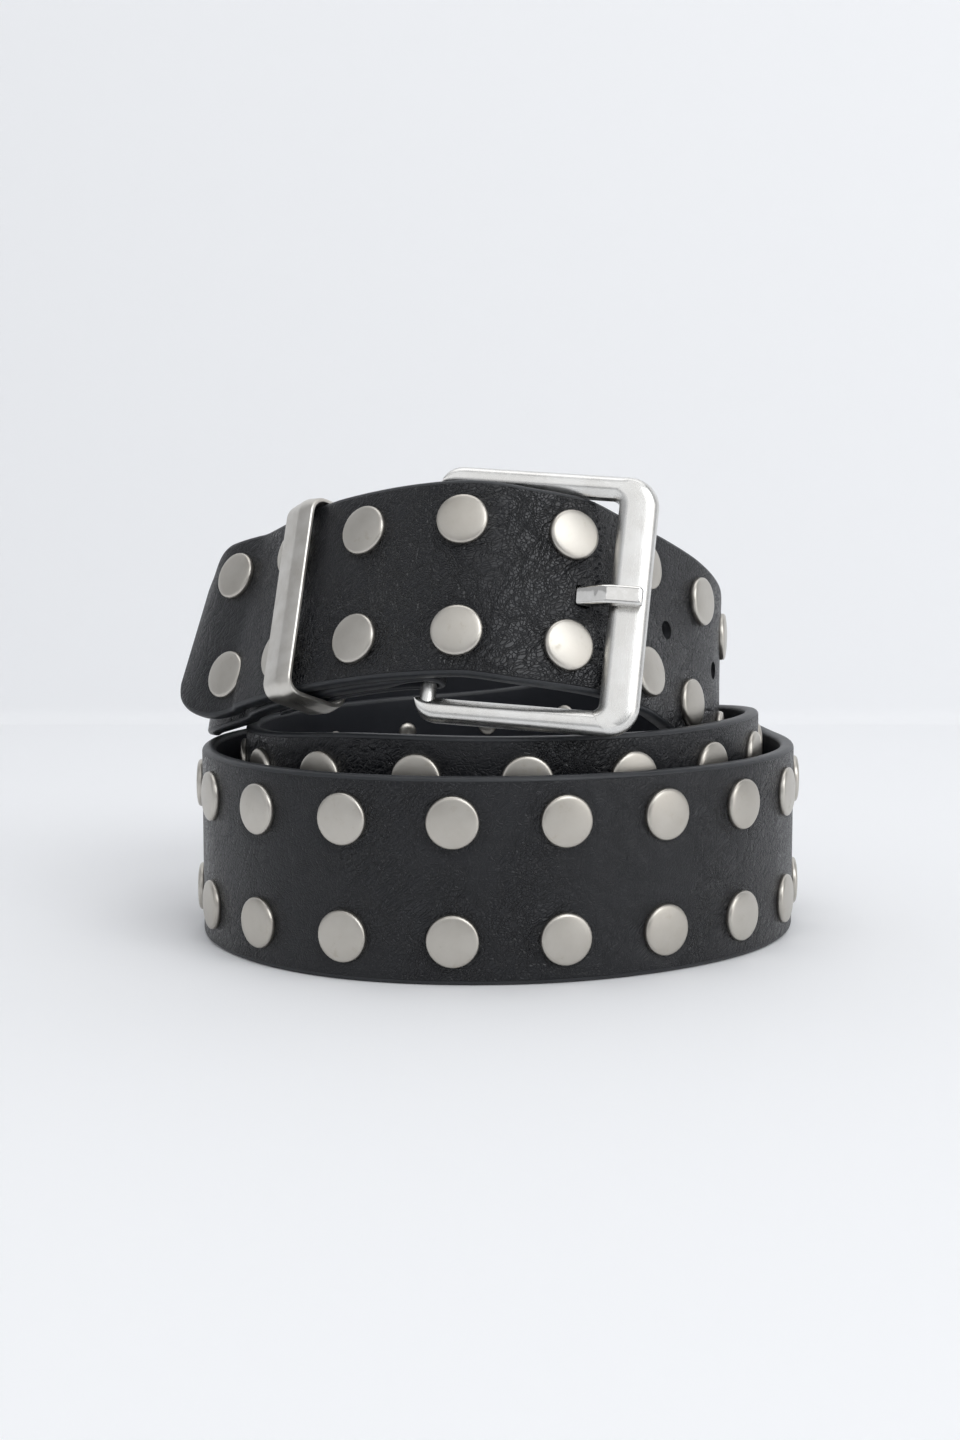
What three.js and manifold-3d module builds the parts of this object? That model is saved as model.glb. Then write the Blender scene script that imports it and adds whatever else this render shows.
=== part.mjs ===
// A wide leather belt with two rows of domed studs, wound in three turns and buckled on top.
// Units are millimetres, +Z is up, and the belt stands on the plane z = 0 with its front towards -Y.
import * as THREE from "three";
import { mergeVertices } from "three/addons/utils/BufferGeometryUtils.js";
import Module from "manifold-3d";

const wasm = await Module();
wasm.setup();

// Strap
const strapWidth = 45;
const strapThickness = 3.4;
const skivedThickness = 1.6;
const skiveLength = 14;
const foldLength = 52;
const tipCornerRadius = 14;

// Studs, in two rows, and their rivet backs
const studDiameter = 11.6;
const studHeight = 2;
const studRimHeight = 1.2;
const studSeat = 0.8;
const studPitch = 24;
const studRowSpacing = 25.6;
const rivetDiameter = 5.2;
const rivetHeight = 0.9;
const studSides = 10;
const rivetSides = 5;

// Adjusting holes, spaced a little wider than the studs; the prong has pulled the first one long
const holeDiameter = 4.4;
const holePitch = 28;
const holeAfterColumn = 5;
const adjustingHoles = 5;
const tipColumns = 5;
const tipMargin = 16.5;
const holeBeforeBar = 5.2;
const holeSides = 12;

// Buckle frame
const frameLength = 49;
const frameDepth = 4.2;
const sideBarWidth = 5.3;
const endBarWidth = 8.8;
const frameCornerRadius = 7;
const frameInnerRadius = 1.6;
const frameEdgeRound = 1.3;
const heelBarDiameter = 3.5;
const heelInset = 2.6;
const endBarDrop = 2;
const buckleDrop = 0.9;
const roundSides = 16;

// Prong
const prongWidth = 4.5;
const prongThickness = 2.7;
const prongEyeWall = 1.3;
const prongOverhang = 5.1;
const prongEdge = 0.5;
const prongBearing = 2.5;
const prongDrop = 0.9;
const prongRoom = 0.4;

// Keeper
const keeperWidth = 9.6;
const keeperWall = 1.3;
const keeperRidge = 0.5;
const keeperFromHeel = 36.5;
const keeperCornerRadius = 3;
const keeperSidePlay = 0.6;
const keeperBackPlay = 2.2;

// Clearances
const seatGap = 0.3;
const strapSideGap = 2.2;
const plyGap = 0.4;
const underGap = 1.6;
const foldGap = 0.9;

// Coil
const coilRadius = 70;
const heelTurn = -105.5;
const turnStep = 1;
const fullTurn = 360;
const turnsUnderTip = 3;
const overlapStart = 896;
const overlapFull = 928;
const lastStudTurn = 888;
const endBarNearest = 25;
const endBarFarthest = 60;
const sectionsPerPitch = 2;

// The strap's middle line from beyond the tip, inwards along the belt, and back up under the tip.
// turn is in degrees, counted from the right-hand side seen from above; radius is a share of
// coilRadius and height a share of strapWidth; lean is in degrees, with the upper edge inwards.
const coil = [
  { turn: -200, radius: 1.235, height: 1.400, lean: 22 },
  { turn: -174, radius: 1.052, height: 1.562, lean: 22 },
  { turn: -160, radius: 0.899, height: 1.670, lean: 21 },
  { turn: -130, radius: 0.845, height: 1.842, lean: 20 },
  { turn: -100, radius: 0.865, height: 1.928, lean: 21 },
  { turn: -85, radius: 0.855, height: 1.887, lean: 20 },
  { turn: -72, radius: 0.835, height: 1.832, lean: 18 },
  { turn: -60, radius: 0.780, height: 1.745, lean: 15 },
  { turn: -48, radius: 0.736, height: 1.660, lean: 12 },
  { turn: -34, radius: 0.720, height: 1.550, lean: 7 },
  { turn: -10, radius: 0.740, height: 1.345, lean: 1 },
  { turn: 20, radius: 0.770, height: 1.080, lean: 0 },
  { turn: 50, radius: 0.770, height: 0.835, lean: 0 },
  { turn: 85, radius: 0.770, height: 0.680, lean: 0 },
  { turn: 130, radius: 0.815, height: 0.620, lean: 0 },
  { turn: 170, radius: 0.865, height: 0.600, lean: 0 },
  { turn: 210, radius: 0.900, height: 0.610, lean: 0 },
  { turn: 240, radius: 0.895, height: 0.655, lean: 0 },
  { turn: 270, radius: 0.905, height: 0.660, lean: 0 },
  { turn: 300, radius: 0.905, height: 0.665, lean: 0 },
  { turn: 330, radius: 0.885, height: 0.675, lean: 0 },
  { turn: 360, radius: 0.885, height: 0.665, lean: 0 },
  { turn: 405, radius: 0.905, height: 0.590, lean: 0 },
  { turn: 450, radius: 0.925, height: 0.515, lean: 0 },
  { turn: 495, radius: 0.960, height: 0.500, lean: 0 },
  { turn: 540, radius: 1.015, height: 0.500, lean: 0 },
  { turn: 570, radius: 1.080, height: 0.500, lean: 0 },
  { turn: 600, radius: 1.120, height: 0.500, lean: 0 },
  { turn: 630, radius: 1.080, height: 0.500, lean: 0 },
  { turn: 660, radius: 1.030, height: 0.500, lean: 0 },
  { turn: 690, radius: 1.015, height: 0.500, lean: 0 },
  { turn: 720, radius: 1.005, height: 0.500, lean: 0 },
  { turn: 735, radius: 1.004, height: 0.508, lean: 0 },
  { turn: 750, radius: 1.005, height: 0.560, lean: 0 },
  { turn: 780, radius: 1.015, height: 0.745, lean: 0 },
  { turn: 810, radius: 1.035, height: 1.010, lean: 0 },
  { turn: 840, radius: 1.055, height: 1.290, lean: 2 },
  { turn: 870, radius: 1.040, height: 1.480, lean: 6 },
  { turn: 900, radius: 0.970, height: 1.510, lean: 10 },
  { turn: 930, radius: 0.800, height: 1.680, lean: 19 },
  { turn: 980, radius: 0.760, height: 1.880, lean: 20 },
];

const up = new THREE.Vector3(0, 0, 1);

// A smooth curve through one column of the table, at a turn angle.
function column(name, turn) {
  let row = 0;
  while (row < coil.length - 2 && coil[row + 1].turn <= turn) row += 1;
  const slope = (index) => {
    const before = coil[Math.max(index - 1, 0)];
    const after = coil[Math.min(index + 1, coil.length - 1)];
    return (after[name] - before[name]) / (after.turn - before.turn);
  };
  const a = coil[row];
  const b = coil[row + 1];
  const span = b.turn - a.turn;
  const u = (turn - a.turn) / span;
  const v = 1 - u;
  const ends = v * v * (1 + 2 * u) * a[name] + u * u * (1 + 2 * v) * b[name];
  return ends + span * u * v * (v * slope(row) - u * slope(row + 1));
}

function coilPoint(turn) {
  const radius = column("radius", turn) * coilRadius;
  const angle = THREE.MathUtils.degToRad(turn);
  return new THREE.Vector3(
    radius * Math.cos(angle),
    radius * Math.sin(angle),
    column("height", turn) * strapWidth,
  );
}

// The point of a course with its directions: along the strap, across it and out of its grain side.
function frameAt(course, turn) {
  const point = course(turn);
  const along = course(turn + turnStep / 2).sub(course(turn - turnStep / 2)).normalize();
  const level = along.clone().cross(up).normalize();
  const lean = THREE.MathUtils.degToRad(column("lean", turn));
  const across = level.clone().cross(along).applyAxisAngle(along, -lean);
  const out = along.clone().cross(across);
  return { point, along, across, out };
}

function tipFrame(turn) {
  return frameAt(coilPoint, turn);
}

function moved(frame, alongBy, acrossBy, outBy) {
  return frame.point.clone()
    .addScaledVector(frame.along, alongBy)
    .addScaledVector(frame.across, acrossBy)
    .addScaledVector(frame.out, outBy);
}

function smooth(from, to, value) {
  return THREE.MathUtils.smoothstep(value, from, to);
}

// Where the strap goes through its third turn it slides under the tip and takes its course from it.
function coursePoint(turn) {
  const own = coilPoint(turn);
  if (turn <= overlapStart) return own;
  const above = tipFrame(turn - turnsUnderTip * fullTurn);
  const under = moved(above, 0, 0, -(strapThickness + underGap));
  return own.lerp(under, smooth(overlapStart, overlapFull, turn));
}

// Puts a frame square again after its across direction has been blended.
function square(frame) {
  frame.across.addScaledVector(frame.along, -frame.across.dot(frame.along)).normalize();
  frame.out = frame.along.clone().cross(frame.across);
  return frame;
}

function courseFrame(turn) {
  const frame = frameAt(coursePoint, turn);
  if (turn <= overlapStart) return frame;
  const above = tipFrame(turn - turnsUnderTip * fullTurn);
  frame.across.lerp(above.across, smooth(overlapStart, overlapFull, turn));
  return square(frame);
}

// Lengths along the strap's middle line, measured once and then looked up.
function measure(from, to) {
  const rows = [];
  let length = 0;
  for (let turn = from; turn <= to; turn += turnStep) {
    const frame = courseFrame(turn);
    if (rows.length) length += frame.point.distanceTo(rows[rows.length - 1].frame.point);
    rows.push({ turn, length, frame });
  }
  return rows;
}

function lookUp(rows, key, value) {
  let row = 0;
  while (row < rows.length - 2 && rows[row + 1][key] <= value) row += 1;
  const a = rows[row];
  const b = rows[row + 1];
  const share = (value - a[key]) / (b[key] - a[key]);
  const mix = (name) => a.frame[name].clone().lerp(b.frame[name], share);
  const frame = { point: mix("point"), along: mix("along").normalize(), across: mix("across") };
  return { frame: square(frame), length: THREE.MathUtils.lerp(a.length, b.length, share) };
}

const underTurn = heelTurn + turnsUnderTip * fullTurn;
const wound = measure(coil[0].turn, underTurn);
const atLength = (length) => lookUp(wound, "length", length).frame;
const heelLength = lookUp(wound, "turn", heelTurn).length;

// The first turn angle between two where a value passes a limit.
function solve(valueAt, limit, from, to) {
  let low = from;
  let high = to;
  const rising = valueAt(to) > valueAt(from);
  for (let pass = 0; pass < 40; pass += 1) {
    const middle = (low + high) / 2;
    if ((valueAt(middle) < limit) === rising) low = middle;
    else high = middle;
  }
  return (low + high) / 2;
}

// Buckle axes: x runs from the heel bar to the end bar, y up across the strap and z outwards.
const heelRadius = heelBarDiameter / 2;
const foldRadius = heelRadius + seatGap + skivedThickness / 2;
const heelFrame = tipFrame(heelTurn);
const heelDepth = strapThickness / 2 + foldGap + skivedThickness / 2 + foldRadius;
const heelPoint = moved(heelFrame, 0, 0, -heelDepth);
const barSpacing = frameLength - heelInset - endBarWidth / 2;

// The end bar lies outside the strap, which passes behind it at a slant.
function endBarCentre(turn) {
  const frame = tipFrame(turn);
  const chord = frame.point.clone().sub(heelPoint).normalize();
  const slant = frame.out.dot(chord);
  const twist = Math.abs(frame.out.dot(heelFrame.across)) * strapWidth / 2;
  const reach = endBarWidth / 2 * slant + frameDepth / 2 * Math.sqrt(1 - slant * slant) + twist;
  return moved(frame, 0, -endBarDrop, strapThickness / 2 + seatGap + reach);
}

const endTurn = solve(
  (turn) => endBarCentre(turn).distanceTo(heelPoint),
  barSpacing,
  heelTurn + endBarNearest,
  heelTurn + endBarFarthest,
);
const buckleX = endBarCentre(endTurn).sub(heelPoint).normalize();
const buckleY = heelFrame.across.clone();
buckleY.addScaledVector(buckleX, -buckleY.dot(buckleX)).normalize();
const buckleZ = buckleX.clone().cross(buckleY);
const buckleOrigin = heelPoint.clone().addScaledVector(buckleX, frameLength / 2 - heelInset);
buckleOrigin.addScaledVector(buckleY, -buckleDrop);
const buckleMatrix = new THREE.Matrix4().makeBasis(buckleX, buckleY, buckleZ).setPosition(buckleOrigin);
const heelX = heelInset - frameLength / 2;
const endBarX = (frameLength - endBarWidth) / 2;
const frameHeight = strapWidth + 2 * (strapSideGap + sideBarWidth);

function buckleCoordinates(point) {
  return point.clone().applyMatrix4(buckleMatrix.clone().invert());
}

// The prong bears on the near end of its hole, just before the strap dips behind the end bar.
const holeX = endBarX - endBarWidth / 2 - holeBeforeBar;
const holeTurn = solve((turn) => buckleCoordinates(coilPoint(turn)).x, holeX, heelTurn, endTurn);
const holeLength = lookUp(wound, "turn", holeTurn).length;
const bearingX = holeX - prongBearing;
const bearingTurn = solve((turn) => buckleCoordinates(coilPoint(turn)).x, bearingX, heelTurn, endTurn);
const bearing = buckleCoordinates(coilPoint(bearingTurn));
const lastTipColumn = holeLength - holeAfterColumn;
const firstColumn = lastTipColumn - (tipColumns - 1) * studPitch;
const tipLength = firstColumn - tipMargin;

// A closed body through sections of equal corner counts, with flat ends.
function loft(sections) {
  const positions = sections.flat().flatMap((corner) => corner.toArray());
  const count = sections[0].length;
  const index = [];
  for (let section = 0; section < sections.length - 1; section += 1) {
    for (let corner = 0; corner < count; corner += 1) {
      const next = (corner + 1) % count;
      const a = section * count + corner;
      const b = section * count + next;
      index.push(a, b, b + count, a, b + count, a + count);
    }
  }
  const last = (sections.length - 1) * count;
  for (let corner = 1; corner < count - 1; corner += 1) {
    index.push(0, corner + 1, corner);
    index.push(last, last + corner, last + corner + 1);
  }
  const geometry = new THREE.BufferGeometry();
  geometry.setAttribute("position", new THREE.Float32BufferAttribute(positions, 3));
  geometry.setIndex(index);
  return geometry;
}

function solid(geometry) {
  const bare = geometry.clone();
  for (const name of Object.keys(bare.attributes)) {
    if (name !== "position") bare.deleteAttribute(name);
  }
  const merged = mergeVertices(bare, 1e-4);
  return new wasm.Manifold(new wasm.Mesh({
    numProp: 3,
    vertProperties: new Float32Array(merged.attributes.position.array),
    triVerts: new Uint32Array(merged.index.array),
  }));
}

function geometryOf(manifold) {
  const mesh = manifold.getMesh();
  const geometry = new THREE.BufferGeometry();
  const points = [];
  for (let vertex = 0; vertex < mesh.numVert; vertex += 1) {
    for (let axis = 0; axis < 3; axis += 1) points.push(mesh.vertProperties[vertex * mesh.numProp + axis]);
  }
  geometry.setAttribute("position", new THREE.Float32BufferAttribute(points, 3));
  geometry.setIndex(Array.from(mesh.triVerts));
  return geometry;
}

// A round body turned about a frame's outward direction.
function turned(profile, sides, frame, acrossBy) {
  const points = profile.map(([radius, height]) => new THREE.Vector2(radius, height));
  const geometry = new THREE.LatheGeometry(points, sides);
  const place = new THREE.Matrix4().makeBasis(frame.across, frame.out, frame.along);
  place.setPosition(moved(frame, 0, acrossBy, 0));
  geometry.applyMatrix4(place);
  return geometry;
}

// One cross-section of the strap, four corners round its middle.
function strapSection(frame, halfWidth, thickness) {
  const half = thickness / 2;
  return [[-1, -1], [1, -1], [1, 1], [-1, 1]].map(
    ([side, face]) => moved(frame, 0, side * halfWidth, face * half),
  );
}

function tipHalfWidth(fromTip) {
  const left = Math.max(tipCornerRadius - fromTip, 0);
  return strapWidth / 2 - tipCornerRadius + Math.sqrt(tipCornerRadius ** 2 - left ** 2);
}

// Close to the heel bar the strap turns until it is square to the bar.
function foldFrame(beforeHeel, depth) {
  const above = atLength(heelLength - beforeHeel);
  const across = above.across.clone().lerp(buckleY, 1 - smooth(0, skiveLength, beforeHeel)).normalize();
  const along = above.along.clone().addScaledVector(across, -above.along.dot(across)).normalize();
  return { point: moved(above, 0, 0, -depth), along, across, out: along.clone().cross(across) };
}

function strapThicknessAt(beforeHeel) {
  const share = smooth(skiveLength / 3, skiveLength, beforeHeel);
  return THREE.MathUtils.lerp(skivedThickness, strapThickness, share);
}

function underGapAt(beforeHeel) {
  return THREE.MathUtils.lerp(foldGap, underGap, smooth(0, skiveLength, beforeHeel));
}

// The strap from its rounded tip, three turns round, and under the tip to the start of the thinning.
function strapSections() {
  const sections = [];
  const tipSteps = 5;
  for (let step = 0; step < tipSteps; step += 1) {
    const fromTip = tipCornerRadius * (1 - Math.cos(step / tipSteps * Math.PI / 2));
    sections.push(strapSection(atLength(tipLength + fromTip), tipHalfWidth(fromTip), strapThickness));
  }
  const apart = studPitch / sectionsPerPitch;
  const to = wound[wound.length - 1].length - skiveLength;
  for (let length = firstColumn + apart / 2; length < to - apart / 2; length += apart) {
    sections.push(strapSection(atLength(length), strapWidth / 2, strapThickness));
  }
  sections.push(strapSection(atLength(to), strapWidth / 2, strapThickness));
  const skiveSteps = 4;
  for (let step = 1; step < skiveSteps; step += 1) {
    const beforeHeel = skiveLength * (1 - step / skiveSteps);
    const thickness = strapThicknessAt(beforeHeel);
    const depth = strapThickness / 2 + underGapAt(beforeHeel) + thickness / 2;
    sections.push(strapSection(foldFrame(beforeHeel, depth), strapWidth / 2, thickness));
  }
  return sections;
}

// Round the heel bar, then back behind the strap as a thin ply.
function foldSections() {
  const sections = [];
  const bendSteps = 7;
  const start = foldFrame(0, heelDepth);
  for (let step = 0; step <= bendSteps; step += 1) {
    const angle = Math.PI * step / bendSteps;
    const frame = { ...start };
    frame.out = start.out.clone().applyAxisAngle(start.across, angle);
    frame.along = start.along.clone().applyAxisAngle(start.across, angle);
    frame.point = start.point.clone().addScaledVector(frame.out, foldRadius);
    sections.push(strapSection(frame, strapWidth / 2, skivedThickness));
  }
  const plySteps = 9;
  const farDepth = strapThickness * 1.5 + underGap + plyGap + skivedThickness / 2;
  for (let step = 1; step <= plySteps; step += 1) {
    const beforeHeel = foldLength * step / plySteps;
    const share = smooth(0, skiveLength, beforeHeel);
    const depth = THREE.MathUtils.lerp(heelDepth + foldRadius, farDepth, share);
    const frame = foldFrame(beforeHeel, depth);
    frame.out.negate();
    frame.along.negate();
    sections.push(strapSection(frame, strapWidth / 2, skivedThickness));
  }
  return sections;
}

// A cutter laid square through the strap.
function through(geometry, length) {
  const frame = atLength(length);
  const place = new THREE.Matrix4().makeBasis(frame.across, frame.out, frame.along);
  return solid(geometry.applyMatrix4(place.setPosition(frame.point)));
}

function studdedStrap() {
  let strap = solid(loft([...strapSections(), ...foldSections()]));
  const room = 2 * seatGap;
  const depth = 2 * strapThickness;
  for (let hole = 1; hole < adjustingHoles; hole += 1) {
    const radius = holeDiameter / 2;
    const round = new THREE.CylinderGeometry(radius, radius, depth, holeSides);
    strap = strap.subtract(through(round, holeLength + hole * holePitch));
  }
  const pulled = shank(prongThickness / 2 + prongRoom, prongWidth + 2 * prongRoom);
  strap = strap.subtract(pulled.transform(prongMatrix.toArray()));
  const slotRadius = foldRadius + skivedThickness;
  const slot = new THREE.CylinderGeometry(slotRadius, slotRadius, prongWidth + 2 * room, roundSides);
  slot.rotateX(Math.PI / 2).translate(heelX, 0, 0);
  strap = strap.subtract(solid(slot.applyMatrix4(prongMatrix)));

  const face = strapThickness / 2;
  const sunk = face - studSeat;
  const cap = [
    [0, sunk],
    [studDiameter / 2, sunk],
    [studDiameter / 2, face + studRimHeight],
    [0, face + studHeight],
  ];
  const back = [
    [0, -face - rivetHeight],
    [rivetDiameter / 2, -face - rivetHeight],
    [rivetDiameter / 2, -sunk],
    [0, -sunk],
  ];
  const lastStud = lookUp(wound, "turn", lastStudTurn).length;
  for (let length = firstColumn; length < lastStud; length += studPitch) {
    const frame = atLength(length);
    for (const side of [-1, 1]) {
      const row = side * studRowSpacing / 2;
      strap = strap.add(solid(turned(cap, studSides, frame, row)));
      strap = strap.add(solid(turned(back, rivetSides, frame, row)));
    }
  }
  return geometryOf(strap.simplify());
}

// The frame is cast as a C, open at the heel, with the thin heel bar across its ends.
function buckleFrame() {
  const inset = frameEdgeRound;
  const right = frameLength / 2 - inset;
  const top = frameHeight / 2 - inset;
  const innerRight = frameLength / 2 - endBarWidth + inset;
  const innerTop = frameHeight / 2 - sideBarWidth + inset;
  const corner = frameCornerRadius - inset;
  const end = (top - innerTop) * 0.9;
  const hollow = frameInnerRadius + inset;
  const outline = new THREE.Shape();
  outline.moveTo(-right, -innerTop);
  outline.absarc(-right + end, -top + end, end, Math.PI, 1.5 * Math.PI, false);
  outline.absarc(right - corner, -top + corner, corner, 1.5 * Math.PI, 2 * Math.PI, false);
  outline.absarc(right - corner, top - corner, corner, 0, 0.5 * Math.PI, false);
  outline.absarc(-right + end, top - end, end, 0.5 * Math.PI, Math.PI, false);
  outline.lineTo(-right, innerTop);
  outline.absarc(innerRight - hollow, innerTop - hollow, hollow, 0.5 * Math.PI, 0, true);
  outline.absarc(innerRight - hollow, -innerTop + hollow, hollow, 0, -0.5 * Math.PI, true);
  const geometry = new THREE.ExtrudeGeometry(outline, {
    depth: frameDepth - 2 * inset,
    bevelThickness: inset,
    bevelSize: inset,
    bevelSegments: 2,
    curveSegments: 3,
  });
  geometry.translate(0, 0, inset - frameDepth / 2);
  const barLength = frameHeight - sideBarWidth;
  const bar = new THREE.CylinderGeometry(heelRadius, heelRadius, barLength, roundSides);
  bar.translate(heelX, 0, 0);
  const frame = geometryOf(solid(geometry).add(solid(bar)));
  return frame.applyMatrix4(buckleMatrix);
}

// The prong's own axes: x along the buckle, y outwards; it stands just below the strap's middle.
const prongMatrix = new THREE.Matrix4()
  .makeBasis(buckleX, buckleZ, buckleY.clone().negate())
  .setPosition(buckleOrigin.clone().addScaledVector(buckleY, bearing.y - prongDrop));

// The prong's strip runs from the heel bar behind the tip, up through its hole and onto the end bar.
function shank(half, width) {
  const restY = frameDepth / 2 + seatGap + prongThickness / 2;
  const noseX = endBarX + endBarWidth / 2 - prongOverhang + prongThickness;
  const course = new THREE.SplineCurve([
    new THREE.Vector2(heelX, 0),
    new THREE.Vector2(bearingX - 4 * prongThickness, -prongThickness / 4),
    new THREE.Vector2(bearingX - 1.6 * prongThickness, bearing.z - 0.8 * prongThickness),
    new THREE.Vector2(bearingX, bearing.z),
    new THREE.Vector2(bearingX + 1.6 * prongThickness, bearing.z * 0.4 + restY * 0.6),
    new THREE.Vector2(endBarX - endBarWidth / 2, restY),
    new THREE.Vector2(noseX, restY),
  ]);
  const steps = 13;
  const upper = [];
  const lower = [];
  for (let step = 0; step <= steps; step += 1) {
    const point = course.getPoint(step / steps);
    const along = course.getTangent(step / steps);
    upper.push(new THREE.Vector2(point.x - along.y * half, point.y + along.x * half));
    lower.push(new THREE.Vector2(point.x + along.y * half, point.y - along.x * half));
  }
  const end = course.getPoint(1);
  const nose = [];
  for (const turn of [-0.3, 0, 0.3]) {
    const angle = turn * Math.PI;
    nose.push(new THREE.Vector2(end.x + half * Math.cos(angle), end.y + half * Math.sin(angle)));
  }
  const shape = new THREE.Shape([...lower, ...nose, ...upper.reverse()]);
  const strip = new THREE.ExtrudeGeometry(shape, {
    depth: width - 2 * prongEdge,
    bevelThickness: prongEdge,
    bevelSize: prongEdge,
    bevelOffset: -prongEdge,
    bevelSegments: 1,
  });
  strip.translate(0, 0, prongEdge - width / 2);
  return solid(strip);
}

function buckleProng() {
  const eyeHole = heelRadius + seatGap;
  const eyeRadius = eyeHole + prongEyeWall;
  const eye = new THREE.CylinderGeometry(eyeRadius, eyeRadius, prongWidth, roundSides);
  const bore = new THREE.CylinderGeometry(eyeHole, eyeHole, 2 * prongWidth, roundSides);
  for (const round of [eye, bore]) round.rotateX(Math.PI / 2).translate(heelX, 0, 0);
  const prong = shank(prongThickness / 2, prongWidth).add(solid(eye)).subtract(solid(bore));
  return geometryOf(prong).applyMatrix4(prongMatrix);
}

// The keeper is a flat band bent into a rounded rectangle round the tip, the strap and the folded ply.
function keeperLoop() {
  const frame = atLength(heelLength - keeperFromHeel);
  const front = strapThickness / 2 + studHeight + seatGap;
  const back = -(strapThickness * 1.5 + underGap + plyGap + skivedThickness + keeperBackPlay);
  const side = strapWidth / 2 + keeperSidePlay;
  const radius = keeperCornerRadius;
  const cornerSteps = 5;
  const loop = [];
  const corners = [[1, 1, 0], [-1, 1, 0.5], [-1, -1, 1], [1, -1, 1.5]];
  for (const [acrossSign, outSign, quarter] of corners) {
    const acrossAt = acrossSign * (side - radius);
    const outAt = outSign > 0 ? front - radius : back + radius;
    for (let step = 0; step <= cornerSteps; step += 1) {
      const angle = (quarter + step / cornerSteps / 2) * Math.PI;
      loop.push({ acrossAt, outAt, cos: Math.cos(angle), sin: Math.sin(angle) });
    }
  }
  const half = keeperWidth / 2;
  const band = [
    [-half, 0],
    [half, 0],
    [half, keeperWall],
    [half * 0.1, keeperWall + keeperRidge],
    [-half, keeperWall],
  ];
  const positions = [];
  for (const { acrossAt, outAt, cos, sin } of loop) {
    for (const [alongBy, thick] of band) {
      const reach = radius + thick;
      positions.push(...moved(frame, alongBy, acrossAt + cos * reach, outAt + sin * reach).toArray());
    }
  }
  const index = [];
  for (let section = 0; section < loop.length; section += 1) {
    const from = section * band.length;
    const to = (section + 1) % loop.length * band.length;
    for (let corner = 0; corner < band.length; corner += 1) {
      const next = (corner + 1) % band.length;
      index.push(from + corner, to + next, to + corner, from + corner, from + next, to + next);
    }
  }
  const geometry = new THREE.BufferGeometry();
  geometry.setAttribute("position", new THREE.Float32BufferAttribute(positions, 3));
  geometry.setIndex(index);
  return geometry;
}

function finish(color, roughness, metalness) {
  return new THREE.MeshStandardMaterial({ color, roughness, metalness });
}

const belt = new THREE.Group();

function addPiece(name, geometry, material) {
  const mesh = new THREE.Mesh(geometry, material);
  mesh.name = name;
  belt.add(mesh);
}

addPiece("studded_strap", studdedStrap(), finish(0x1b1c20, 0.45, 0));
addPiece("buckle_frame", buckleFrame(), finish(0xc9c6bf, 0.32, 1));
addPiece("buckle_prong", buckleProng(), finish(0xd2d0ca, 0.15, 1));
addPiece("keeper_loop", keeperLoop(), finish(0xbfbab0, 0.3, 1));

// The origin is the middle of the footprint, on the surface that the belt stands on.
const box = new THREE.Box3().setFromObject(belt);
const middle = box.getCenter(new THREE.Vector3());
belt.position.set(-middle.x, -middle.y, -box.min.z);

export default belt;
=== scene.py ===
import math
import bpy
import bmesh
import numpy as np
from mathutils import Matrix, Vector, kdtree


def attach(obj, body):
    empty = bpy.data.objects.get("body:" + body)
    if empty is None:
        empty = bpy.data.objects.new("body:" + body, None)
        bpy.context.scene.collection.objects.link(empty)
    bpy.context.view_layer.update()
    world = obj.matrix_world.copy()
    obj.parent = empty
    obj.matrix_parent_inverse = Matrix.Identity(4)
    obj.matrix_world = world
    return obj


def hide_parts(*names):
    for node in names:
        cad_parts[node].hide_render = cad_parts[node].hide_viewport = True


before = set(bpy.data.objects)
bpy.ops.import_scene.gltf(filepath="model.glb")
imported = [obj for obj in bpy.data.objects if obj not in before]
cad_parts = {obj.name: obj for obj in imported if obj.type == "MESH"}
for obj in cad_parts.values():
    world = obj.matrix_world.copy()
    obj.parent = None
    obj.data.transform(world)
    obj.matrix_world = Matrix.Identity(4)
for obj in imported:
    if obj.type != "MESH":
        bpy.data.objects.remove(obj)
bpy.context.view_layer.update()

# The camera: a 50 mm lens on a frame 36 mm high, half a metre in front of the belt and a little
# above its middle, looking slightly down.
camera_lens = bpy.data.cameras.new("camera")
camera_lens.sensor_fit = "VERTICAL"
camera_lens.sensor_height = 36
camera_lens.lens = 50
camera = bpy.data.objects.new("camera", camera_lens)
camera.location = (-0.0031, -0.4964, 0.1)
camera.rotation_euler = (math.radians(90 - 5.8), 0, 0)
bpy.context.collection.objects.link(camera)
bpy.context.scene.camera = camera

# The strap: one long band of black pebbled leather with painted edges, wound in three turns. Its
# buckle end is pared thin and folded back round the heel bar, and its rounded tip lies on top.
strap_width = 0.045
strap_thickness = 0.0034
edge_round = 0.0011
pared_thickness = 0.0016
pared_length = 0.014
fold_length = 0.052
tip_corner = 0.014
tip_margin = 0.0165
stud_pitch = 0.024
stud_rows = 0.0256
seat_gap = 0.0003
under_gap = 0.0016
ply_gap = 0.0004
fold_gap = 0.0009
heel_bar_radius = 0.00175
heel_turn = -105.5
last_stud_turn = 888
slide_start = 896
slide_full = 928
full_turns = 1080
coil_radius = 0.070
row_shift = np.array([0.00241, 0.00159, 0.00005])
up = np.array([0.0, 0.0, 1.0])

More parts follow.
